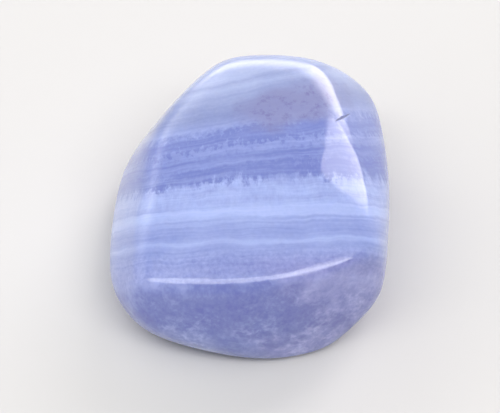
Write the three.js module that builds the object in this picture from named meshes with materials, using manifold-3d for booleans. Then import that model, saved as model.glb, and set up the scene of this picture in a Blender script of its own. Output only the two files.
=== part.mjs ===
// A tumbled blue chalcedony, the lace agate kind: one solid pebble with a broad polished top, a steep
// front face, bevelled sides and a small flat face to lie on. Millimetres. +X is right, +Y is away from
// the steep front face, +Z is up. The origin is the middle of the resting face's level.
import * as THREE from "three";
import { mergeVertices } from "three/addons/utils/BufferGeometryUtils.js";
import Module from "manifold-3d";

const manifold = await Module();
manifold.setup();

// The worn facets that the rough stone had when it went into the tumbler. Each is a slightly crowned face:
// azimuth and elevation of its outward normal in degrees, its distance from the stone's heart, and the
// radius of its crown.
const FACETS = {
  top: { azimuth: -115, elevation: 82, distance: 8.2, crown: 55 },
  rest: { azimuth: 0, elevation: -90, distance: 8.0, crown: Infinity },
  front: { azimuth: -91, elevation: 10, distance: 14.6, crown: 50 },
  frontRight: { azimuth: -71, elevation: 2, distance: 14.5, crown: 50 },
  frontFoot: { azimuth: -106, elevation: -42, distance: 14.8, crown: 60 },
  rightCorner: { azimuth: -34, elevation: -6, distance: 19.6, crown: 80 },
  right: { azimuth: 6, elevation: 43, distance: 13.1, crown: 120 },
  rightShoulder: { azimuth: 8, elevation: 60, distance: 12.2, crown: 120 },
  rightWaist: { azimuth: -3, elevation: 3, distance: 14.5, crown: 80 },
  rightFoot: { azimuth: -2, elevation: -44, distance: 12.8, crown: 80 },
  backRight: { azimuth: 40, elevation: 36, distance: 20.7, crown: 120 },
  backRightShoulder: { azimuth: 31, elevation: 61, distance: 14.0, crown: 90 },
  backRightWaist: { azimuth: 41, elevation: -21, distance: 22.0, crown: 80 },
  back: { azimuth: 92, elevation: 24, distance: 18.0, crown: 80 },
  backShoulder: { azimuth: 99, elevation: 70, distance: 13.1, crown: 80 },
  backWaist: { azimuth: 88, elevation: -14, distance: 17.6, crown: 50 },
  backFoot: { azimuth: 90, elevation: -46, distance: 15.0, crown: 60 },
  backLeft: { azimuth: 152, elevation: 32, distance: 13.4, crown: 60 },
  left: { azimuth: 177, elevation: 27, distance: 12.4, crown: 75 },
  leftWaist: { azimuth: 178, elevation: -8, distance: 16.3, crown: 60 },
  leftFoot: { azimuth: 176, elevation: -42, distance: 14.2, crown: 60 },
  frontLeft: { azimuth: -149, elevation: -13, distance: 16.7, crown: 50 },
};

// How tightly neighbouring facets meet. At 22 a square corner wears to a radius of about 1 mm.
const EDGE_SHARPNESS = 22;

// Low swells that the polishing leaves: ripples per unit of direction from the heart, and height.
const SWELLS = [
  { wave: [5.1, 2.2, -1.4], height: 0.05, phase: 0.4 },
  { wave: [-2.6, 6.3, 2.0], height: 0.04, phase: 1.9 },
  { wave: [3.4, -4.2, 6.8], height: 0.035, phase: 3.1 },
];
// The swells fade out between these heights of direction, so that the resting face stays flat.
const SWELL_FADE = { none: -0.5, full: -0.1 };

// The small nick across the edge at the back right of the top.
const NICK = {
  middle: [9.8, 5.94, 14.89],
  along: [1.27, 2.01, -1.37],
  outward: [0.62, 0.15, 0.77],
  halfLength: 1.3,
  halfWidth: 0.24,
  depth: 0.26,
};

// Cuts along each edge of the icosahedron that the surface is laid out on, and round the nick's lens.
const SURFACE_DETAIL = 22;
const NICK_DETAIL = 3;
// The resting face is ground this far into the stone's lowest point, by a block larger than the stone.
const REST_CUT = 0.02;
const GROUND_BLOCK = { span: 60, depth: 5 };

function facetPlane({ azimuth, elevation, distance, crown }) {
  const turn = THREE.MathUtils.degToRad(azimuth);
  const rise = THREE.MathUtils.degToRad(elevation);
  const normal = new THREE.Vector3(
    Math.cos(turn) * Math.cos(rise),
    Math.sin(turn) * Math.cos(rise),
    Math.sin(rise),
  );
  return { normal, distance, crown };
}

const planes = Object.values(FACETS).map(facetPlane);

// Over 1 outside the stone and under 1 inside it, at a reach along a direction from the heart.
function fullness(direction, reach) {
  let sum = 0;
  for (const { normal, distance, crown } of planes) {
    const facing = normal.dot(direction);
    const straight = (facing * reach) / distance;
    const crowned = ((1 - facing * facing) * reach * reach) / (2 * crown * distance);
    sum += Math.max(0, straight + crowned) ** EDGE_SHARPNESS;
  }
  return sum;
}

// Distance from the heart to the smooth worn surface, found by halving.
function wornRadius(direction) {
  let inside = 2;
  let outside = 30;
  for (let step = 0; step < 40; step++) {
    const middle = (inside + outside) / 2;
    if (fullness(direction, middle) > 1) outside = middle;
    else inside = middle;
  }
  return (inside + outside) / 2;
}

function swellHeight(direction) {
  const share = THREE.MathUtils.smoothstep(direction.z, SWELL_FADE.none, SWELL_FADE.full);
  let height = 0;
  for (const swell of SWELLS) {
    const wave = new THREE.Vector3(...swell.wave);
    height += swell.height * Math.sin(wave.dot(direction) + swell.phase);
  }
  return share * height;
}

// The geometry's bare net of triangles, with its shared corners merged.
function bareNet(geometry) {
  geometry.deleteAttribute("normal");
  geometry.deleteAttribute("uv");
  return mergeVertices(geometry, 1e-4);
}

// The worn surface as one closed net of triangles, its resting face just below level.
function stoneGeometry() {
  const net = bareNet(new THREE.IcosahedronGeometry(1, SURFACE_DETAIL));
  const points = net.getAttribute("position");
  const direction = new THREE.Vector3();
  for (let i = 0; i < points.count; i++) {
    direction.fromBufferAttribute(points, i).normalize();
    const reach = wornRadius(direction) + swellHeight(direction);
    points.setXYZ(i, direction.x * reach, direction.y * reach, direction.z * reach);
  }
  net.computeBoundingBox();
  const { min, max } = net.boundingBox;
  return net.translate(-(min.x + max.x) / 2, -(min.y + max.y) / 2, -min.z - REST_CUT);
}

function solidFrom(geometry) {
  return new manifold.Manifold(
    new manifold.Mesh({
      numProp: 3,
      vertProperties: geometry.getAttribute("position").array,
      triVerts: new Uint32Array(geometry.index.array),
    }),
  );
}

// A long thin lens, sunk to its depth in the edge.
function nickGeometry() {
  const outward = new THREE.Vector3(...NICK.outward).normalize();
  const across = outward.clone().cross(new THREE.Vector3(...NICK.along)).normalize();
  const along = across.clone().cross(outward);
  const shape = new THREE.Matrix4()
    .makeBasis(along, across, outward)
    .scale(new THREE.Vector3(NICK.halfLength, NICK.halfWidth, NICK.depth))
    .setPosition(...NICK.middle);
  return bareNet(new THREE.IcosahedronGeometry(1, NICK_DETAIL)).applyMatrix4(shape);
}

// The block whose upper face grinds the resting face flat.
function groundGeometry() {
  const { span, depth } = GROUND_BLOCK;
  return bareNet(new THREE.BoxGeometry(span, span, depth)).translate(0, 0, -depth / 2);
}

function geometryFrom(solid) {
  const net = solid.getMesh();
  const geometry = new THREE.BufferGeometry();
  geometry.setAttribute("position", new THREE.BufferAttribute(net.vertProperties, 3));
  geometry.setIndex(new THREE.BufferAttribute(net.triVerts, 1));
  geometry.computeVertexNormals();
  return geometry;
}

const worn = solidFrom(stoneGeometry());
const nicked = worn.subtract(solidFrom(nickGeometry()));
const stone = new THREE.Mesh(
  geometryFrom(nicked.subtract(solidFrom(groundGeometry()))),
  new THREE.MeshStandardMaterial({ color: 0x9cabdf, roughness: 0.12, metalness: 0 }),
);
stone.name = "chalcedony_stone";

const part = new THREE.Group();
part.name = "blue_chalcedony";
part.add(stone);

export default part;
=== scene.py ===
"""One tumbled blue chalcedony, the lace agate kind, on a plain pale floor.

Lengths in the tables and in the shader are millimetres, and the property groups and the stage use metres.
"""

import math
from collections import namedtuple

import bmesh
import bpy
import numpy as np
from bpy.props import FloatProperty, FloatVectorProperty, PointerProperty
from mathutils import Matrix, Quaternion, Vector


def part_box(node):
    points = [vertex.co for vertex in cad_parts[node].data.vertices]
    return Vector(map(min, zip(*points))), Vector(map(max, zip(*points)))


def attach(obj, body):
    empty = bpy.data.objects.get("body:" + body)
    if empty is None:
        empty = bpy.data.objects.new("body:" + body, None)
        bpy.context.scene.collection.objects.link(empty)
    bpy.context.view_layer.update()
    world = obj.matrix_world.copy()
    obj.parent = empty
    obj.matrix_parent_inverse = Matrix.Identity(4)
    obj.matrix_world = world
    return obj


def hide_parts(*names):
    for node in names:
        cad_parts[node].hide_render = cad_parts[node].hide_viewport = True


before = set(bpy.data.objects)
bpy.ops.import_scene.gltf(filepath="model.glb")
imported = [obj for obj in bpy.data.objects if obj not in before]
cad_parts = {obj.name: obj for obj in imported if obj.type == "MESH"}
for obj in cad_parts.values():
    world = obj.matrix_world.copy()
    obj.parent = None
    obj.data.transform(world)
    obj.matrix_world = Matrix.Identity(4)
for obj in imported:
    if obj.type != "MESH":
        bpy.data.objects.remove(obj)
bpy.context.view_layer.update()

bl_info = {
    "name": "Blue Chalcedony Stone",
    "version": (1, 0, 0),
    "blender": (4, 5, 0),
    "location": "View3D > Sidebar > Chalcedony",
    "description": "Makes a tumbled, banded blue chalcedony and a plain stage for it",
    "category": "Object",
}

MM = 0.001
NODE = "chalcedony_stone"
# The photograph's width and height in pixels.
PHOTO_SIZE = (500, 413)

# The worn facets of the stone: azimuth and elevation of the outward normal in degrees, distance from
# the stone's heart, and the radius of the facet's crown.
Facet = namedtuple("Facet", "azimuth elevation distance crown")
FACETS = {
    "top": Facet(-115, 82, 8.2, 55),
    "rest": Facet(0, -90, 8.0, math.inf),
    "front": Facet(-91, 10, 14.6, 50),
    "front_right": Facet(-71, 2, 14.5, 50),
    "front_foot": Facet(-106, -42, 14.8, 60),
    "right_corner": Facet(-34, -6, 19.6, 80),
    "right": Facet(6, 43, 13.1, 120),
    "right_shoulder": Facet(8, 60, 12.2, 120),
    "right_waist": Facet(-3, 3, 14.5, 80),
    "right_foot": Facet(-2, -44, 12.8, 80),
    "back_right": Facet(40, 36, 20.7, 120),
    "back_right_shoulder": Facet(31, 61, 14.0, 90),
    "back_right_waist": Facet(41, -21, 22.0, 80),
    "back": Facet(92, 24, 18.0, 80),
    "back_shoulder": Facet(99, 70, 13.1, 80),
    "back_waist": Facet(88, -14, 17.6, 50),
    "back_foot": Facet(90, -46, 15.0, 60),
    "back_left": Facet(152, 32, 13.4, 60),
    "left": Facet(177, 27, 12.4, 75),
    "left_waist": Facet(178, -8, 16.3, 60),
    "left_foot": Facet(176, -42, 14.2, 60),
    "front_left": Facet(-149, -13, 16.7, 50),
}

# A fade runs from the value where there is nothing of a thing to the value where the thing is full.
Fade = namedtuple("Fade", "none full")

# Low swells that the polishing leaves: how their waves run, in radians per unit of direction from the
# heart, their height and their phase.
Swell = namedtuple("Swell", "wave height phase")
SWELLS = (
    Swell((5.1, 2.2, -1.4), 0.05, 0.4),
    Swell((-2.6, 6.3, 2.0), 0.04, 1.9),
    Swell((3.4, -4.2, 6.8), 0.035, 3.1),
)
# The swells fade out over these heights of direction, so that the resting face stays flat.
SWELL_FADE = Fade(-0.5, -0.1)
# The heart of the stone in its box, and how far the resting face is ground into its lowest point.
HEART = (0.04, -1.61, 7.98)
REST_CUT = 0.02

# The nick across the edge at the back right of the top: its middle, its course and the way out of the
# stone there.
NICK_MIDDLE = (9.67, 5.31, 15.18)
NICK_ALONG = (1.86, 2.69, -1.54)
NICK_OUTWARD = (0.49, 0.11, 0.86)
# How far from its middle the nick can cut and the net is finer, and how many cuts make it finer.
NICK_REACH = 2.2
NICK_CUTS = 3
# Squares along each side of the cube that is blown up into the stone.
NET_ROWS = 118
# The surface is looked for between these distances from the heart, by so many halvings.
SHORTEST_REACH = 2.0
LONGEST_REACH = 30.0
HALVINGS = 36

# The layers of the stone from the foot of its front to the top of its back: how far across the layers
# each tone is reached, and the tone, from 0 for the darkest blue to 1 for the palest.
LAYER_TONES = (
    (-10.4, 0.36),
    (-9.0, 0.20),
    (-7.0, 0.14),
    (-5.2, 0.18),
    (-4.2, 0.42),
    (-2.8, 0.35),
    (-1.0, 0.50),
    (-0.5, 0.78),
    (-0.1, 0.52),
    (1.2, 0.53),
    (1.5, 0.74),
    (1.7, 0.62),
    (2.0, 0.90),
    (2.8, 0.92),
    (3.1, 0.70),
    (4.7, 0.76),
    (5.4, 0.70),
    (6.2, 0.30),
    (7.4, 0.20),
    (7.8, 0.34),
    (8.5, 0.26),
    (9.0, 0.44),
    (9.6, 0.46),
    (10.0, 0.26),
    (11.2, 0.24),
    (12.2, 0.56),
    (13.4, 0.45),
    (14.8, 0.61),
    (15.6, 0.58),
    (16.4, 0.82),
    (17.0, 0.62),
    (17.5, 0.84),
)
# The tone at which each blue of the finish stands.
BLUES = {"slate": 0.0, "deep": 0.25, "middle": 0.55, "pale": 1.0}

# The direction along the bands, in the layers' own coordinates: along them, across them and down.
ALONG_BANDS = (1.0, 0.0, 0.0)
# From this level up the layers fan out to the right, and at the far right they all sag.
FAN_START = 4.0
SAG_FADE = Fade(7.0, 13.0)
SAG_DEPTH = 0.4

# Stretches across the layers: a pattern comes in from the first level to the second and goes from the
# third to the last.
Zone = namedtuple("Zone", "start full fading end")
TEETH_ZONE = Zone(4.2, 5.4, 7.0, 8.6)
FRAY_ZONE = Zone(8.4, 9.4, 11.4, 12.8)
UPPER_COLUMNS_ZONE = Zone(2.6, 3.8, 5.4, 6.6)
LOWER_COLUMNS_ZONE = Zone(-10.5, -8.5, -6.0, -4.4)
DOTS_ZONE = Zone(-5.2, -3.6, -2.2, -0.8)
CLEAR_ZONE = Zone(-9.0, -6.4, -4.6, -3.4)

# Levels across the layers over which a pattern comes in.
LINES_FADE = Fade(-4.5, -1.5)
STRONG_LINES_FADE = Fade(15.0, 9.0)
MOTTLE_FADE = Fade(-2.6, -5.2)
LACE_FADE = Fade(-5.0, -7.6)
FRONT_FADE = Fade(-1.0, -3.6)
FROST_FADE = Fade(11.0, 14.0)
PALE_CORNER_FADE = Fade(14.2, 16.4)
# Places along the layers, with right as the larger, over which a pattern comes in.
PALE_CORNER_SIDE_FADE = Fade(8.0, 11.0)
ROSE_SIDE_FADE = Fade(-2.0, 6.0)
CLEAR_SIDE_FADE = Fade(1.0, 8.0)
# The front is painted paler away from this place, over these distances from it: painted light for the
# light falling on the front's sides.
FRONT_MIDDLE = -1.0
FRONT_SIDES_FADE = Fade(1.0, 8.0)

# The smallest tooth, and how much taller the tallest is, as shares of the tooth height.
SMALLEST_TOOTH = 0.3
TOOTH_SPREAD = 1.5
# How much of the fine lines shows at the back, and how much of the rose shows on the left.
BACK_LINES = 0.45
LEFT_ROSE = 0.3
# How much the dots gain in their zone, as a share of what they are elsewhere.
DOTS_GAIN = 1.75
# How far each of these lifts the tone.
PALE_CORNER_LIFT = 0.45
LACE_LIFT = 0.42
# Lifts the front's sides as painted light.
PAINTED_SIDE_LIGHT = 0.104
CLEAR_LIFT = 0.221

# The lace low on the front: its cells to a millimetre, the distance from a cell's edge, in cells, over
# which the bright rim comes in, and how much higher the lace reaches for each millimetre to the right.
LACE_CELLS = 0.8
RIM_FADE = Fade(0.40, 0.02)
LACE_LEAN = 0.16

# The grey cloud in the back layers: its middle and its reach, along and across the layers.
CLOUD_MIDDLE = (4.8, 13.2)
CLOUD_REACH = (6.0, 2.4)
# The shares of its reach over which the cloud comes in, and how thick its mist and its specks are.
CLOUD_FADE = Fade(1.25, 0.5)
MIST_COVER = 0.8
SPECK_COVER = 0.75

# The nick's painted shade comes in over these squares of the share of the way from its middle to its edge.
NICK_FADE = Fade(1.1, 0.7)
# How thick the painted shade in the nick is, and how much rougher the nick is than the polish.
NICK_SHADE_COVER = 0.4
NICK_ROUGHNESS = 0.45

# The refraction of chalcedony, how far its red, green and blue glow spreads, as shares of the glow's
# depth, and the height of the low waves in its polish.
REFRACTION = 1.54
GLOW_SPREAD = (0.9, 0.75, 0.55)
WAVE_HEIGHT = 0.02


def even(part):
    """A vector with three like parts."""
    return (part, part, part)


# Noise that swings a place, a tone or a height to both sides: lumps to a millimetre along, across and
# down the layers, detail, roughness, and how far it can swing from end to end.
Swing = namedtuple("Swing", "lumps detail roughness travel")
SWINGS = {
    "sway": Swing(even(0.09), 1.0, 0.5, 1.2),
    "ripple": Swing(even(0.5), 2.0, 0.5, 0.6),
    "fray": Swing((2.0, 0.8, 2.0), 2.0, 0.6, 2.4),
    "lines": Swing((0.05, 1.5, 0.05), 2.5, 0.62, 0.40),
    "fine_lines": Swing((0.14, 4.4, 0.14), 1.0, 0.5, 0.34),
    "columns": Swing((1.9, 0.25, 1.9), 3.0, 0.65, 0.5),
    "patches": Swing(even(0.2), 2.0, 0.5, 0.34),
    "mottle": Swing(even(0.6), 3.0, 0.6, 0.9),
    "dots": Swing(even(2.6), 2.0, 0.6, 0.2),
    "rose_wander": Swing(even(0.12), 2.0, 0.5, 22.0),
    "smears": Swing(even(1.2), 3.0, 0.5, 0.05),
    "waves": Swing(even(0.4), 1.0, 0.5, 1.0),
    "small_waves": Swing(even(1.5), 1.0, 0.5, 0.22),
    "fine_waves": Swing(even(5.0), 1.0, 0.5, 0.03),
}

# Noise that is eased into spots: lumps, detail and roughness as above, and the fade of its values.
Spots = namedtuple("Spots", "lumps detail roughness fade")
SPOTS = {
    "teeth": Spots((1.5, 0.22, 1.5), 3.0, 0.7, Fade(0.30, 0.70)),
    "tooth_sizes": Spots(even(0.35), 2.0, 0.5, Fade(0.30, 0.66)),
    "lace_pieces": Spots(even(1.1), 3.0, 0.6, Fade(0.38, 0.68)),
    "lace_cover": Spots(even(0.22), 2.0, 0.5, Fade(0.34, 0.60)),
    "specks": Spots(even(1.1), 3.0, 0.7, Fade(0.48, 0.74)),
}

# Noise that moves a pattern about: lumps to a millimetre, and how far it can move a place in all.
Shake = namedtuple("Shake", "lumps reach")
SHAKES = {
    "mottle": Shake(0.9, 1.6),
    "lace": Shake(0.7, 1.8),
    "lace_rims": Shake(2.6, 0.6),
    "cloud": Shake(0.35, 4.0),
    "nick": Shake(2.0, 0.6),
}

# The lamps and the soft glows on the studio's walls: the azimuth and elevation they shine from, how far
# they are rolled, how wide and high they look from the stone, all in degrees, their brightness and
# their colour.
Window = namedtuple("Window", "azimuth elevation roll width height brightness colour")
WHITE = (1.0, 1.0, 1.0)
BLUSH = (1.0, 0.95, 0.97)
LAMPS = {
    "front_strip": Window(-100, 65, 0, 84, 16, 4.5, WHITE),
    "front_corner": Window(-54, 56, 0, 28, 32, 3.2, WHITE),
    "overhead_box": Window(-90, 84, 0, 76, 30, 0.9, WHITE),
    "rear_window": Window(49, 32, -12, 19, 62, 4.9, BLUSH),
}
GLOWS = {
    "left_fill": Window(185, 20, 0, 100, 80, 1.7, WHITE),
    "rear_glow": Window(84, 12, 0, 56, 34, 4.7, BLUSH),
    "corner_glow": Window(63, 4, 0, 26, 36, 6.2, BLUSH),
    "side_glow": Window(128, 33, 8, 52, 36, 2.6, WHITE),
}
# A glow comes in over these shares of its half width, and from its top and foot up to its middle. It shows
# only on its own side of the studio, where it comes in over these cosines of the angle to its middle.
GLOW_WIDTH_FADE = Fade(1.2, 0.6)
GLOW_FRONT_FADE = Fade(0.0, 0.3)
# The light of the horizon gives way to the light from above over these heights of direction.
SKY_FADE = Fade(0.0, 0.9)
# From the stone's middle to each lamp, and half the floor's width, in metres.
LAMP_DISTANCE = 6.0
FLOOR_HALF_WIDTH = 2.0

# The camera's film width in millimetres, and the nearest and farthest that it sees in metres.
FILM_WIDTH = 36.0
NEAREST_SEEN = 0.01
FARTHEST_SEEN = 20.0


def unit(azimuth, elevation):
    """Unit vector at an azimuth and an elevation in degrees."""
    turn = math.radians(azimuth)
    rise = math.radians(elevation)
    return (math.cos(turn) * math.cos(rise), math.sin(turn) * math.cos(rise), math.sin(rise))


def smooth_step(values, none, full):
    """Eases the numbers of an array from 0 at the first limit to 1 at the second."""
    share = np.clip((values - none) / (full - none), 0.0, 1.0)
    return share * share * (3.0 - 2.0 * share)


# Form


def worn_radius(directions, sharpness):
    """Distance from the heart to the worn surface along each direction, found by halving.

    A facet is met where the way along its normal, plus the drop of its crown, is as long as its
    distance. The surface is where the facets' shares of that way, raised to the sharpness, add up to 1.
    """
    normals = np.array([unit(facet.azimuth, facet.elevation) for facet in FACETS.values()])
    distances = np.array([facet.distance for facet in FACETS.values()])
    crowns = np.array([facet.crown for facet in FACETS.values()])
    facing = directions @ normals.T
    straight = facing / distances
    crowned = (1.0 - facing ** 2) / (2.0 * crowns * distances)
    inside = np.full(len(directions), SHORTEST_REACH)
    outside = np.full(len(directions), LONGEST_REACH)
    for _ in range(HALVINGS):
        middle = (inside + outside) / 2.0
        reach = middle[:, None]
        shares = np.maximum(0.0, straight * reach + crowned * reach ** 2)
        beyond = (shares ** sharpness).sum(axis=1) > 1.0
        outside = np.where(beyond, middle, outside)
        inside = np.where(beyond, inside, middle)
    return (inside + outside) / 2.0


def swell_height(directions, share):
    """Height of the polishing swells along each direction."""
    height = sum(
        swell.height * np.sin(directions @ np.array(swell.wave) + swell.phase)
        for swell in SWELLS
    )
    return share * height * smooth_step(directions[:, 2], *SWELL_FADE)


def nick_axes():
    """Unit vectors along, across and out of the nick."""
    outward = Vector(NICK_OUTWARD).normalized()
    across = outward.cross(Vector(NICK_ALONG)).normalized()
    return across.cross(outward), across, outward


def carve_nick(points, form):
    """Sinks the points that lie in the nick's outline, deepest along its middle."""
    along, across, outward = (np.array(axis) for axis in nick_axes())
    offset = points - np.array(NICK_MIDDLE)
    length_share = offset @ along / (form.nick_length / MM / 2.0)
    width_share = offset @ across / (form.nick_width / MM / 2.0)
    near = np.abs(offset @ outward) < NICK_REACH
    bowl = np.sqrt(np.clip(1.0 - length_share ** 2 - width_share ** 2, 0.0, 1.0))
    return points - outward * (near * bowl * form.nick_depth / MM)[:, None]


def even_directions(points):
    """Directions of points of the cube, spread so that its squares stay alike in size."""
    spread = np.tan(points * math.pi / 4.0)
    return spread / np.linalg.norm(spread, axis=1, keepdims=True)


def cube_net():
    """A cube's surface cut into even squares, and finer ones round the nick."""
    net = bmesh.new()
    bmesh.ops.create_cube(net, size=2.0)
    bmesh.ops.subdivide_edges(net, edges=net.edges[:], cuts=NET_ROWS - 1, use_grid_fill=True)
    to_nick = Vector(NICK_MIDDLE) - Vector(HEART)
    starts = even_directions(np.array([edge.verts[0].co for edge in net.edges]))
    close = starts @ np.array(to_nick.normalized()) > math.cos(NICK_REACH / to_nick.length)
    edges = [edge for edge, is_close in zip(net.edges, close) if is_close]
    bmesh.ops.subdivide_edges(net, edges=edges, cuts=NICK_CUTS, use_grid_fill=True)
    bmesh.ops.triangulate(net, faces=[face for face in net.faces if len(face.verts) > 4])
    return net


def fit_to_box(points, low, high):
    """Stretches the points, by a hair, to fill the box exactly."""
    own_low = points.min(axis=0)
    own_high = points.max(axis=0)
    return low + (points - own_low) * (high - low) / (own_high - own_low)


def stone_mesh(form):
    """The stone's fine surface, in metres."""
    net = cube_net()
    directions = even_directions(np.array([vertex.co for vertex in net.verts]))
    reach = worn_radius(directions, form.edge_sharpness) + swell_height(directions, form.swell)
    points = directions * reach[:, None]
    points[:, 2] = np.maximum(points[:, 2], points[:, 2].min() + REST_CUT)
    low, high = (np.array(corner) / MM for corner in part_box(NODE))
    points = fit_to_box(points, low, high)
    points = carve_nick(points, form) * MM
    mesh = bpy.data.meshes.new(NODE + "_surface")
    net.to_mesh(mesh)
    net.free()
    mesh.vertices.foreach_set("co", points.astype(np.float32).ravel())
    mesh.shade_smooth()
    mesh.update()
    return mesh


# Node maths


def opaque(colour):
    """The colour with the full alpha that a colour socket wants."""
    return (*colour, 1.0)


class Wire:
    """A node's output, so that shader maths reads as an expression."""

    def __init__(self, sheet, socket):
        self.sheet = sheet
        self.socket = socket

    def __add__(self, other):
        return self.sheet.maths("ADD", self, other)

    def __sub__(self, other):
        return self.sheet.maths("SUBTRACT", self, other)

    def __rsub__(self, other):
        return self.sheet.maths("SUBTRACT", other, self)

    def __mul__(self, other):
        return self.sheet.maths("MULTIPLY", self, other)

    def __abs__(self):
        return self.sheet.maths("ABSOLUTE", self)

    __radd__ = __add__
    __rmul__ = __mul__


class NodeSheet:
    """The nodes of one material or world."""

    # A Mix node's colour sockets share their names with its others, so they go by their places.
    MIX_FACTOR = 0
    MIX_FIRST = 6
    MIX_SECOND = 7
    MIX_RESULT = 2

    def __init__(self, owner):
        owner.use_nodes = True
        self.tree = owner.node_tree
        self.tree.nodes.clear()

    def add(self, kind, settings=None, sockets=None, output=0):
        """Adds a node of a type, its settings first and then its sockets' values or wires."""
        node = self.tree.nodes.new(kind)
        for name, value in (settings or {}).items():
            if name == "stops":
                self.set_stops(node.color_ramp, value)
            else:
                setattr(node, name, value)
        for name, value in (sockets or {}).items():
            if isinstance(value, Wire):
                self.tree.links.new(value.socket, node.inputs[name])
            else:
                node.inputs[name].default_value = value
        return Wire(self, node.outputs[output]) if len(node.outputs) else None

    @staticmethod
    def set_stops(ramp, stops):
        """Gives a ramp its places and colours."""
        while len(ramp.elements) < len(stops):
            ramp.elements.new(1.0)
        for element, (place, colour) in zip(ramp.elements, stops):
            element.position = place
            element.color = opaque(colour)

    def maths(self, operation, first, second=0.0):
        """One operation on two numbers, or on the first alone."""
        return self.add("ShaderNodeMath", {"operation": operation}, {0: first, 1: second})

    def vector_maths(self, operation, *values, output=0):
        """One operation on vectors or colours."""
        settings = {"operation": operation}
        return self.add("ShaderNodeVectorMath", settings, dict(enumerate(values)), output)

    def dot(self, vector, direction):
        """How far the vector goes in a direction."""
        return self.vector_maths("DOT_PRODUCT", vector, direction, output="Value")

    def product(self, vector, factors):
        """The vector or colour with each of its parts multiplied by its own factor."""
        return self.vector_maths("MULTIPLY", vector, factors)

    def ease(self, value, none, full):
        """0 at the first limit, 1 at the second and smooth between, where either may be the larger."""
        return self.add(
            "ShaderNodeMapRange",
            {"interpolation_type": "SMOOTHSTEP"},
            {"Value": value, "From Min": none, "From Max": full},
        )

    def within(self, value, zone):
        """1 in the full part of a zone and 0 outside it."""
        return self.ease(value, zone.start, zone.full) * self.ease(value, zone.end, zone.fading)

    def noise(self, vector, pattern):
        """Noise from 0 to 1, with a pattern's lumps, detail and roughness."""
        sockets = {
            "Vector": self.product(vector, pattern.lumps),
            "Scale": 1.0,
            "Detail": pattern.detail,
            "Roughness": pattern.roughness,
        }
        return self.add("ShaderNodeTexNoise", None, sockets)

    def swing(self, vector, name):
        """Noise that swings to both sides of 0."""
        pattern = SWINGS[name]
        return (self.noise(vector, pattern) - 0.5) * pattern.travel

    def spots(self, vector, name):
        """Noise that is eased into spots: 1 in them and 0 between them."""
        pattern = SPOTS[name]
        return self.ease(self.noise(vector, pattern), *pattern.fade)

    def shaken(self, vector, name):
        """The vector moved about by noise."""
        shake = SHAKES[name]
        sockets = {"Vector": vector, "Scale": shake.lumps, "Detail": 1.0}
        drift = self.add("ShaderNodeTexNoise", None, sockets, "Color")
        centred = self.vector_maths("SUBTRACT", drift, even(0.5))
        return self.vector_maths("MULTIPLY_ADD", centred, even(shake.reach), vector)

    def mixed(self, share, first, second):
        """One colour laid over another by a share."""
        sockets = {self.MIX_FACTOR: share, self.MIX_FIRST: first, self.MIX_SECOND: second}
        return self.add("ShaderNodeMix", {"data_type": "RGBA"}, sockets, self.MIX_RESULT)


# Finish


def layer_axes(finish):
    """Unit vectors along the bands, across the layers and down the layers' dip."""
    across = Vector((0.0, 1.0, 0.0))
    across.rotate(Matrix.Rotation(finish.layer_tilt, 3, "X"))
    across.rotate(Matrix.Rotation(finish.layer_turn, 3, "Z"))
    along = Vector((math.cos(finish.layer_turn), math.sin(finish.layer_turn), 0.0))
    return along, across, along.cross(across)


def layer_depth(sheet, place, finish):
    """How far across the layers a place lies, with their fan and sag at the right and their sway."""
    along, across, _ = layer_axes(finish)
    level = sheet.dot(place, across)
    sideways = sheet.dot(place, along)
    fanned = sheet.maths("MAXIMUM", level - FAN_START, 0.0)
    fan = sideways * fanned * (-finish.layer_fan * MM)
    sag = sheet.ease(sideways, *SAG_FADE) * SAG_DEPTH
    return level + fan + sag + sheet.swing(place, "sway") + sheet.swing(place, "ripple")


def jagged_depth(sheet, grain, depth, finish):
    """The depth with crystal teeth on one layer's edge and frayed edges on the layers behind it."""
    tooth_height = finish.tooth_height / MM
    sizes = sheet.spots(grain, "tooth_sizes") * TOOTH_SPREAD + SMALLEST_TOOTH
    teeth = (sheet.spots(grain, "teeth") - 0.5) * sizes * sheet.within(depth, TEETH_ZONE)
    fray = sheet.swing(grain, "fray") * sheet.within(depth, FRAY_ZONE)
    return depth - (teeth + fray) * tooth_height


def layer_tone(sheet, grain, depth, finish):
    """The tone of the layers, with all that streaks, mottles and dots it."""
    first = LAYER_TONES[0][0]
    span = LAYER_TONES[-1][0] - first
    stops = [((place - first) / span, (tone, tone, tone)) for place, tone in LAYER_TONES]
    share = (jagged_depth(sheet, grain, depth, finish) - first) * (1.0 / span)
    broad = sheet.add("ShaderNodeValToRGB", {"stops": stops}, {"Fac": share})

    strong = sheet.ease(depth, *STRONG_LINES_FADE)
    line_strength = sheet.ease(depth, *LINES_FADE) * (BACK_LINES + (1.0 - BACK_LINES) * strong)
    lined = (sheet.swing(grain, "lines") + sheet.swing(grain, "fine_lines")) * line_strength
    column_zones = sheet.within(depth, UPPER_COLUMNS_ZONE) + sheet.within(depth, LOWER_COLUMNS_ZONE)
    columned = sheet.swing(grain, "columns") * column_zones
    mottled = sheet.swing(sheet.shaken(grain, "mottle"), "mottle") * sheet.ease(depth, *MOTTLE_FADE)
    dotted = sheet.swing(grain, "dots") * (1.0 + DOTS_GAIN * sheet.within(depth, DOTS_ZONE))
    far_right = sheet.ease(sheet.dot(grain, ALONG_BANDS), *PALE_CORNER_SIDE_FADE)
    pale_corner = far_right * sheet.ease(depth, *PALE_CORNER_FADE) * PALE_CORNER_LIFT
    return broad + lined + columned + sheet.swing(grain, "patches") + mottled + dotted + pale_corner


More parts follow.
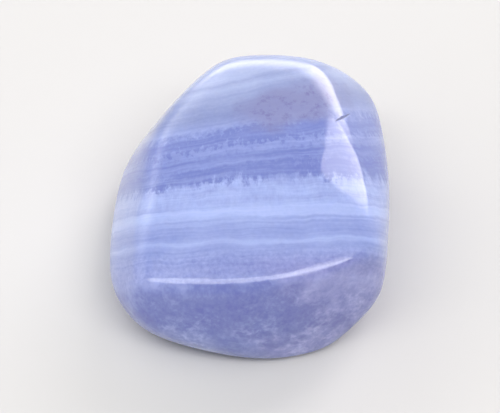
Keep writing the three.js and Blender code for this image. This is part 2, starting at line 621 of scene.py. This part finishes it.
def lace_share(sheet, grain, depth):
    """Pale lacy flecks low on the front: broken bright rims round clear cells."""
    bent = sheet.shaken(sheet.shaken(grain, "lace"), "lace_rims")
    sockets = {"Vector": bent, "Scale": LACE_CELLS}
    edge = sheet.add("ShaderNodeTexVoronoi", {"feature": "DISTANCE_TO_EDGE"}, sockets, "Distance")
    rims = sheet.ease(edge, *RIM_FADE)
    lean = sheet.dot(grain, ALONG_BANDS) * LACE_LEAN
    low = sheet.ease(depth - lean, *LACE_FADE)
    return rims * sheet.spots(grain, "lace_pieces") * sheet.spots(grain, "lace_cover") * low


def cloud_share(sheet, grain):
    """The grey crystalline cloud in the back layers, on the right, which runs on down the layers' dip."""
    shape = (1.0 / CLOUD_REACH[0], 1.0 / CLOUD_REACH[1], 0.0)
    middle = [place * share for place, share in zip((*CLOUD_MIDDLE, 0.0), shape)]
    bent = sheet.product(sheet.shaken(grain, "cloud"), shape)
    offset = sheet.vector_maths("DISTANCE", bent, middle, output="Value")
    return sheet.ease(offset, *CLOUD_FADE)


def front_rose_and_side_light(sheet, grain, depth):
    """How rosy the front is, mostly on its right, and how much paler, with painted light on both its
    sides.
    """
    sideways = sheet.dot(grain, ALONG_BANDS) + sheet.swing(grain, "rose_wander")
    front = sheet.ease(depth, *FRONT_FADE)
    rosy = (LEFT_ROSE + (1.0 - LEFT_ROSE) * sheet.ease(sideways, *ROSE_SIDE_FADE)) * front
    # Painted light: the front's sides are painted paler than its middle, standing in for light falling on
    # them.
    sides = sheet.ease(abs(sideways - FRONT_MIDDLE), *FRONT_SIDES_FADE) * front
    clear = sheet.ease(sideways, *CLEAR_SIDE_FADE) * sheet.within(depth, CLEAR_ZONE)
    return rosy, PAINTED_SIDE_LIGHT * sides + CLEAR_LIFT * clear


def nick_share(sheet, place, form):
    """1 inside the nick and 0 outside it."""
    along, across, outward = nick_axes()
    offset = sheet.vector_maths("SUBTRACT", sheet.shaken(place, "nick"), NICK_MIDDLE)
    length_share = sheet.dot(offset, along / (form.nick_length / MM / 2.0))
    width_share = sheet.dot(offset, across / (form.nick_width / MM / 2.0))
    depth_share = sheet.dot(offset, outward / NICK_REACH)
    spread = length_share * length_share + width_share * width_share + depth_share * depth_share
    return sheet.ease(spread, *NICK_FADE)


def chalcedony_colour(sheet, place, grain, depth, nick, finish):
    """The banded colour, with its frost, cloud, rose, the painted light on the front's sides and the
    painted shade in the nick.
    """
    # The second share is painted light on the front's sides, with the lift in the clear zone.
    rosy, paler = front_rose_and_side_light(sheet, grain, depth)
    lace = lace_share(sheet, grain, depth)
    tone = layer_tone(sheet, grain, depth, finish) + lace * LACE_LIFT + paler
    stops = [(level, getattr(finish, name)) for name, level in BLUES.items()]
    banded = sheet.add("ShaderNodeValToRGB", {"stops": stops}, {"Fac": tone})
    cloud = cloud_share(sheet, grain)
    specks = sheet.spots(place, "specks") * cloud
    frosted = sheet.mixed(sheet.ease(depth, *FROST_FADE), banded, sheet.product(banded, finish.frost))
    misty = sheet.mixed(cloud * MIST_COVER, frosted, opaque(finish.mist))
    clouded = sheet.mixed(specks * SPECK_COVER, misty, opaque(finish.speck))
    tinted = sheet.mixed(rosy, clouded, sheet.product(clouded, finish.rose))
    # The nick is painted dark: painted shade standing in for the shadow in the crack.
    return sheet.mixed(nick * NICK_SHADE_COVER, tinted, opaque(finish.painted_nick_shade))


def chalcedony_finish(finish, form):
    """Polished, slightly translucent chalcedony, banded through the whole stone."""
    material = bpy.data.materials.new("polished_chalcedony")
    sheet = NodeSheet(material)
    spot = sheet.add("ShaderNodeTexCoord", None, None, "Object")
    place = sheet.product(spot, even(1.0 / MM))
    along, _, down = layer_axes(finish)
    depth = layer_depth(sheet, place, finish)
    sockets = {"X": sheet.dot(place, along), "Y": depth, "Z": sheet.dot(place, down)}
    grain = sheet.add("ShaderNodeCombineXYZ", None, sockets)
    nick = nick_share(sheet, place, form)
    waves = [sheet.swing(place, name) for name in ("waves", "small_waves", "fine_waves")]
    sockets = {"Strength": 1.0, "Distance": WAVE_HEIGHT * MM, "Height": sum(waves)}
    bump = sheet.add("ShaderNodeBump", None, sockets)
    sockets = {
        "Base Color": chalcedony_colour(sheet, place, grain, depth, nick, finish),
        "Roughness": finish.gloss + sheet.swing(place, "smears") + nick * NICK_ROUGHNESS,
        "IOR": REFRACTION,
        "Normal": bump,
        "Subsurface Weight": finish.glow,
        "Subsurface Radius": GLOW_SPREAD,
        "Subsurface Scale": finish.glow_depth,
    }
    surface = sheet.add("ShaderNodeBsdfPrincipled", {"subsurface_method": "RANDOM_WALK"}, sockets)
    sheet.add("ShaderNodeOutputMaterial", None, {"Surface": surface})
    return material


# Stage


def window_axes(window):
    """Unit vectors from the stone to the window, along its width and along its height."""
    out = Vector(unit(window.azimuth, window.elevation))
    level = Vector(unit(window.azimuth + 90.0, 0.0))
    level.rotate(Quaternion(out, math.radians(window.roll)))
    return out, level, out.cross(level)


def add_lamp(name, window, middle):
    """An oval lamp that faces the stone and looks as bright from it as its window says."""
    out, level, up = window_axes(window)
    light = bpy.data.lights.new(name, "AREA")
    light.shape = "ELLIPSE"
    light.size = 2.0 * LAMP_DISTANCE * math.tan(math.radians(window.width / 2.0))
    light.size_y = 2.0 * LAMP_DISTANCE * math.tan(math.radians(window.height / 2.0))
    area = math.pi / 4.0 * light.size * light.size_y
    light.energy = window.brightness * math.pi * area
    light.color = window.colour
    holder = bpy.data.objects.new(name, light)
    turn = Matrix((level, up, out)).transposed()
    holder.matrix_world = Matrix.LocRotScale(middle + out * LAMP_DISTANCE, turn.to_quaternion(), None)
    holder.visible_camera = False
    bpy.context.scene.collection.objects.link(holder)


def add_floor(stage):
    """A wide pale floor under the stone."""
    net = bmesh.new()
    bmesh.ops.create_grid(net, x_segments=1, y_segments=1, size=FLOOR_HALF_WIDTH)
    mesh = bpy.data.meshes.new("floor")
    net.to_mesh(mesh)
    net.free()
    floor = bpy.data.objects.new("floor", mesh)
    bpy.context.scene.collection.objects.link(floor)
    material = bpy.data.materials.new("pale_floor")
    sheet = NodeSheet(material)
    sockets = {"Base Color": opaque(stage.floor_colour), "Roughness": 1.0, "Specular IOR Level": 0.0}
    surface = sheet.add("ShaderNodeBsdfPrincipled", None, sockets)
    sheet.add("ShaderNodeOutputMaterial", None, {"Surface": surface})
    mesh.materials.append(material)


def glow_share(sheet, direction, window):
    """1 in the middle of a glow, easing off to 0 round it."""
    out, level, up = window_axes(window)
    half_width = math.sin(math.radians(window.width / 2.0))
    half_height = math.sin(math.radians(window.height / 2.0))
    width_fade = [share * half_width for share in GLOW_WIDTH_FADE]
    beside = sheet.ease(abs(sheet.dot(direction, level)), *width_fade)
    above = sheet.ease(abs(sheet.dot(direction, up)), half_height, 0.0)
    return beside * above * sheet.ease(sheet.dot(direction, out), *GLOW_FRONT_FADE)


def set_world(stage):
    """Pale light all round with the soft glows on it, and a plain backdrop for the camera to see."""
    world = bpy.data.worlds.new("studio")
    bpy.context.scene.world = world
    sheet = NodeSheet(world)
    direction = sheet.add("ShaderNodeTexCoord", None, None, "Generated")
    above = sheet.ease(sheet.dot(direction, (0.0, 0.0, 1.0)), *SKY_FADE)
    light = sheet.mixed(above, opaque(stage.horizon_colour), opaque(stage.sky_colour))
    for window in GLOWS.values():
        glow = opaque([window.brightness * part for part in window.colour])
        light = sheet.mixed(glow_share(sheet, direction, window), light, glow)
    seen = sheet.add("ShaderNodeLightPath", None, None, "Is Camera Ray")
    backed = sheet.mixed(seen, light, opaque(stage.backdrop_colour))
    background = sheet.add("ShaderNodeBackground", None, {"Color": backed})
    sheet.add("ShaderNodeOutputWorld", None, {"Surface": background})


def add_camera(stage, middle):
    """The camera, at the photograph's angle, with the stone filling a share of the picture's height."""
    rise = stage.camera_elevation
    back = Vector((0.0, -math.cos(rise), math.sin(rise)))
    up = Vector((0.0, math.sin(rise), math.cos(rise)))
    camera = bpy.data.cameras.new("camera")
    wide, tall = PHOTO_SIZE
    camera.sensor_width = FILM_WIDTH
    picture_height = stage.seen_height / stage.frame_share
    camera.lens = FILM_WIDTH * stage.camera_distance * (tall / wide) / picture_height
    camera.clip_start = NEAREST_SEEN
    camera.clip_end = FARTHEST_SEEN
    holder = bpy.data.objects.new("camera", camera)
    holder.location = middle + back * stage.camera_distance - up * stage.camera_drop
    holder.rotation_mode = "QUATERNION"
    holder.rotation_quaternion = (-back).to_track_quat("-Z", "Y")
    bpy.context.scene.collection.objects.link(holder)
    bpy.context.scene.camera = holder


class StoneForm(bpy.types.PropertyGroup):
    """Sizes of the stone's surface."""

    edge_sharpness: FloatProperty(
        name="Edge sharpness", description="How tightly the worn facets meet",
        default=22.0, min=6.0, max=60.0,
    )
    swell: FloatProperty(
        name="Swell", description="Share of the low swells that polishing leaves",
        default=1.0, min=0.0, max=3.0,
    )
    nick_length: FloatProperty(
        name="Nick length", description="Length of the nick at the back right",
        default=0.0034, unit="LENGTH",
    )
    nick_width: FloatProperty(
        name="Nick width", description="Width of the nick", default=0.00026, unit="LENGTH",
    )
    nick_depth: FloatProperty(
        name="Nick depth", description="Depth of the nick", default=0.00009, unit="LENGTH",
    )


class StoneFinish(bpy.types.PropertyGroup):
    """Colours and layers of the chalcedony."""

    slate: FloatVectorProperty(
        name="Slate", description="Darkest, greyest layers",
        subtype="COLOR", default=(0.140, 0.165, 0.445),
    )
    deep: FloatVectorProperty(
        name="Deep", description="Deep periwinkle layers",
        subtype="COLOR", default=(0.178, 0.218, 0.485),
    )
    middle: FloatVectorProperty(
        name="Middle", description="Mid blue layers", subtype="COLOR", default=(0.270, 0.325, 0.595),
    )
    pale: FloatVectorProperty(
        name="Pale", description="Palest layers", subtype="COLOR", default=(0.40, 0.472, 0.75),
    )
    rose: FloatVectorProperty(
        name="Rose", description="Tint of the rosy parts", subtype="COLOR", default=(1.0, 0.885, 0.93),
    )
    frost: FloatVectorProperty(
        name="Frost", description="Tint of the back layers", subtype="COLOR", default=(0.92, 0.90, 0.83),
    )
    mist: FloatVectorProperty(
        name="Mist", description="Grey crystalline clouds",
        subtype="COLOR", default=(0.225, 0.235, 0.415),
    )
    speck: FloatVectorProperty(
        name="Specks", description="Dark specks in the clouds",
        subtype="COLOR", default=(0.16, 0.155, 0.34),
    )
    # Painted shade: the near-black colour laid into the nick where the crack's shadow falls.
    painted_nick_shade: FloatVectorProperty(
        name="Shade", description="Dirt in the nick", subtype="COLOR", default=(0.06, 0.055, 0.06),
    )
    layer_tilt: FloatProperty(
        name="Layer tilt", description="How far the layers lean back",
        subtype="ANGLE", default=math.radians(35),
    )
    layer_fan: FloatProperty(
        name="Layer fan", description="How much more steeply each metre of layers rises to the right",
        default=15.0,
    )
    layer_turn: FloatProperty(
        name="Layer turn", description="How far the bands run off square",
        subtype="ANGLE", default=math.radians(3.2),
    )
    tooth_height: FloatProperty(
        name="Tooth height", description="Height of the crystal teeth on a layer's edge",
        default=0.0013, unit="LENGTH",
    )
    gloss: FloatProperty(
        name="Gloss", description="Roughness of the polish",
        subtype="FACTOR", default=0.09, min=0.0, max=1.0,
    )
    glow: FloatProperty(
        name="Glow", description="Share of light that scatters inside",
        subtype="FACTOR", default=0.7, min=0.0, max=1.0,
    )
    glow_depth: FloatProperty(
        name="Glow depth", description="How deep light scatters", default=0.0007, unit="LENGTH",
    )


class StudioStage(bpy.types.PropertyGroup):
    """Camera, floor and light."""

    camera_elevation: FloatProperty(
        name="Camera elevation", description="Camera's height above level",
        subtype="ANGLE", default=math.radians(50),
    )
    camera_distance: FloatProperty(
        name="Camera distance", description="From the camera to the stone", default=0.3, unit="LENGTH",
    )
    frame_share: FloatProperty(
        name="Frame share", description="Share of the picture's height that the stone fills",
        subtype="FACTOR", default=0.74,
    )
    camera_drop: FloatProperty(
        name="Camera drop", description="How far below the stone's middle the camera looks",
        default=0.0008, unit="LENGTH",
    )
    seen_height: FloatProperty(
        name="Seen height", description="Height of the stone as the camera sees it",
        default=0.0318, unit="LENGTH",
    )
    floor_colour: FloatVectorProperty(
        name="Floor", description="Colour of the floor", subtype="COLOR", default=(0.595, 0.587, 0.577),
    )
    sky_colour: FloatVectorProperty(
        name="Sky", description="Light from above", subtype="COLOR", default=(0.26, 0.26, 0.26),
    )
    horizon_colour: FloatVectorProperty(
        name="Horizon", description="Light from low down", subtype="COLOR", default=(0.62, 0.62, 0.62),
    )
    backdrop_colour: FloatVectorProperty(
        name="Backdrop", description="Colour seen past the floor",
        subtype="COLOR", default=(0.76, 0.755, 0.745),
    )


class CHALCEDONY_OT_stone(bpy.types.Operator):
    """Make the tumbled stone with its polished, banded finish"""

    bl_idname = "chalcedony.stone"
    bl_label = "Make stone"

    def execute(self, context):
        form = context.scene.chalcedony_form
        finish = context.scene.chalcedony_finish
        mesh = stone_mesh(form)
        mesh.materials.append(chalcedony_finish(finish, form))
        stone = bpy.data.objects.new("banded_stone", mesh)
        context.scene.collection.objects.link(stone)
        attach(stone, "root")
        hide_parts(NODE)
        return {"FINISHED"}


class CHALCEDONY_OT_stage(bpy.types.Operator):
    """Make the floor, the soft lights and the camera"""

    bl_idname = "chalcedony.stage"
    bl_label = "Make stage"

    def execute(self, context):
        stage = context.scene.chalcedony_stage
        low, high = (Vector(corner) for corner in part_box(NODE))
        middle = (low + high) / 2.0
        context.scene.view_settings.view_transform = "Standard"
        add_floor(stage)
        set_world(stage)
        for name, window in LAMPS.items():
            add_lamp(name, window, middle)
        add_camera(stage, middle)
        return {"FINISHED"}


class VIEW3D_PT_chalcedony(bpy.types.Panel):
    """Sizes, colours and makers of the stone"""

    bl_label = "Chalcedony"
    bl_space_type = "VIEW_3D"
    bl_region_type = "UI"
    bl_category = "Chalcedony"

    def draw(self, context):
        groups = (
            (context.scene.chalcedony_form, CHALCEDONY_OT_stone),
            (context.scene.chalcedony_finish, None),
            (context.scene.chalcedony_stage, CHALCEDONY_OT_stage),
        )
        for group, maker in groups:
            column = self.layout.column()
            for name in group.__annotations__:
                column.prop(group, name)
            if maker:
                column.operator(maker.bl_idname)


CLASSES = (
    StoneForm,
    StoneFinish,
    StudioStage,
    CHALCEDONY_OT_stone,
    CHALCEDONY_OT_stage,
    VIEW3D_PT_chalcedony,
)


def register():
    """Makes the classes and their settings known to Blender."""
    for item in CLASSES:
        bpy.utils.register_class(item)
    bpy.types.Scene.chalcedony_form = PointerProperty(type=StoneForm)
    bpy.types.Scene.chalcedony_finish = PointerProperty(type=StoneFinish)
    bpy.types.Scene.chalcedony_stage = PointerProperty(type=StudioStage)


def unregister():
    """Takes the settings and the classes out again."""
    del bpy.types.Scene.chalcedony_stage
    del bpy.types.Scene.chalcedony_finish
    del bpy.types.Scene.chalcedony_form
    for item in reversed(CLASSES):
        bpy.utils.unregister_class(item)


def main():
    """Makes the stone and its stage."""
    register()
    bpy.ops.chalcedony.stone()
    bpy.ops.chalcedony.stage()


if __name__ == "__main__":
    main()
